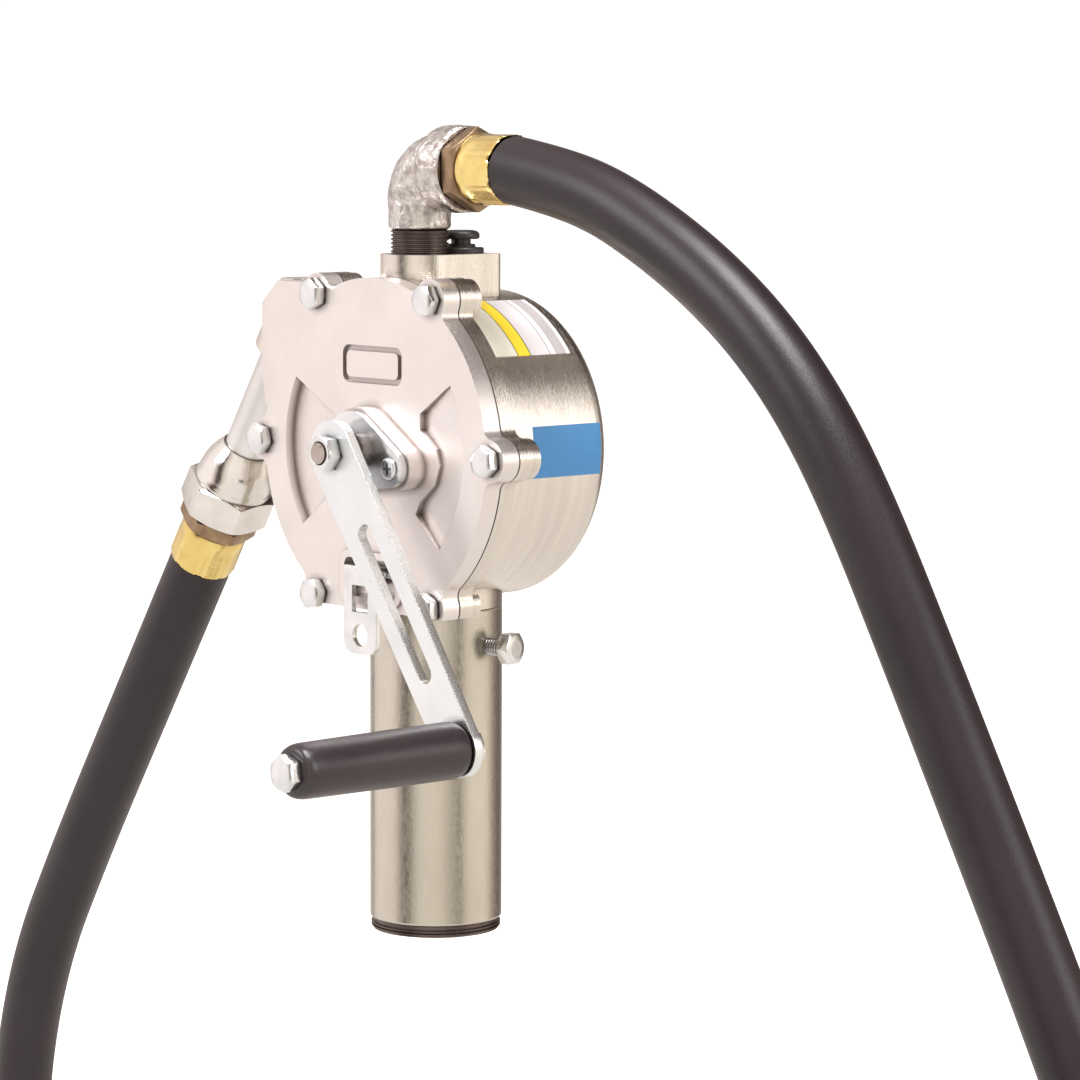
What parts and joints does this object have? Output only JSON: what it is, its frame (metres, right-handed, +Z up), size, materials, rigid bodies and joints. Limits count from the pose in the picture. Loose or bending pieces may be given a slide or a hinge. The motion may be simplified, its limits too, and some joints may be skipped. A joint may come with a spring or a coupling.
{
  "type": "drum barrel pump",
  "caption": "Hand-cranked rotary vane pump on a drum bung adapter, with elbow outlet, discharge hose and a spout parked in a holder.",
  "frame": {"origin": "centre of the bung adapter's lower, threaded end", "axes": "+Z up along the adapter, crank and cover face -Y, outlet elbow faces +X"},
  "size_m": [0.7955, 0.2517, 1.0071],
  "materials": {
    "galvanised_steel": "galvanised, satin",
    "zinc_steel": "bright zinc plate",
    "cast_aluminium": "die-cast, satin",
    "gasket_fibre": "compressed fibre",
    "bush_bronze": "sintered bronze",
    "nitrile_rubber": "matt",
    "stainless_mesh": "perforated",
    "galvanised_iron": "cast, galvanised",
    "black_plastic": "satin",
    "spring_steel": "plain",
    "hex_brass": "machined",
    "ferrule_brass": "crimped, bright",
    "hose_rubber": "matt",
    "plated_steel": "plated casting",
    "spout_aluminium": "drawn tube",
    "zinc_plate": "pale zinc plate",
    "shaft_steel": "ground",
    "rotor_aluminium": "machined",
    "vane_carbon": "carbon",
    "grip_plastic": "satin",
    "printed_film": "printed film"
  },
  "bodies": {
    "adapter": {"bung_adapter": "galvanised_steel", "adapter_set_bolt": "zinc_steel"},
    "pump": {"pump_housing": "cast_aluminium", "front_cover": "cast_aluminium", "cover_gasket": "gasket_fibre", "cover_bolts": "zinc_steel", "front_bush": "bush_bronze", "rear_bush": "bush_bronze", "shaft_packing": "nitrile_rubber", "gland_plate": "zinc_steel", "gland_screw": "zinc_steel", "inlet_strainer": "stainless_mesh", "outlet_elbow": "galvanised_iron", "breaker_base": "black_plastic", "breaker_spring": "spring_steel", "hose_nipple_outlet": "hex_brass", "hose_ferrule_outlet": "ferrule_brass", "hose": "hose_rubber", "hose_ferrule_spout": "ferrule_brass", "hose_nipple_spout": "hex_brass", "spout_coupling": "plated_steel", "spout_tube": "spout_aluminium", "hasp_pin": "zinc_steel", "drum_sticker": "printed_film"},
    "crank": {"shaft": "shaft_steel", "rotor": "rotor_aluminium", "rotor_key": "shaft_steel", "vanes": "vane_carbon", "vane_springs": "spring_steel", "crank_arm": "zinc_plate", "crank_nut": "zinc_steel", "handle_bolt": "zinc_steel", "handle_nut": "zinc_steel"},
    "handle": {"handle_grip": "grip_plastic"},
    "hasp": {"lock_hasp": "zinc_plate"},
    "breaker": {"breaker_cap": "black_plastic"}
  },
  "joints": [
    {"name": "pump_swivel", "type": "hinge", "parent": "adapter", "child": "pump", "pos_m": [0, 0, 0.149], "axis": [0, 0, 1], "range_deg": [-229, 75]},
    {"name": "crank_spin", "type": "hinge", "parent": "pump", "child": "crank", "pos_m": [0, 0, 0.222], "axis": [0, 1, 0], "continuous": true},
    {"name": "handle_spin", "type": "hinge", "parent": "crank", "child": "handle", "pos_m": [0.08604, -0.108, 0.09913], "axis": [0, 1, 0], "continuous": true},
    {"name": "hasp_swing", "type": "hinge", "parent": "pump", "child": "hasp", "pos_m": [0, -0.0372, 0.166], "axis": [-1, 0, 0], "range_deg": [0, 14]},
    {"name": "breaker_press", "type": "slide", "parent": "pump", "child": "breaker", "axis": [0, 0, -1], "range_m": [0, 0.002], "stiffness_N_per_m": 300, "springref_m": -0.004, "deforming": ["breaker_spring"]}
  ]
}
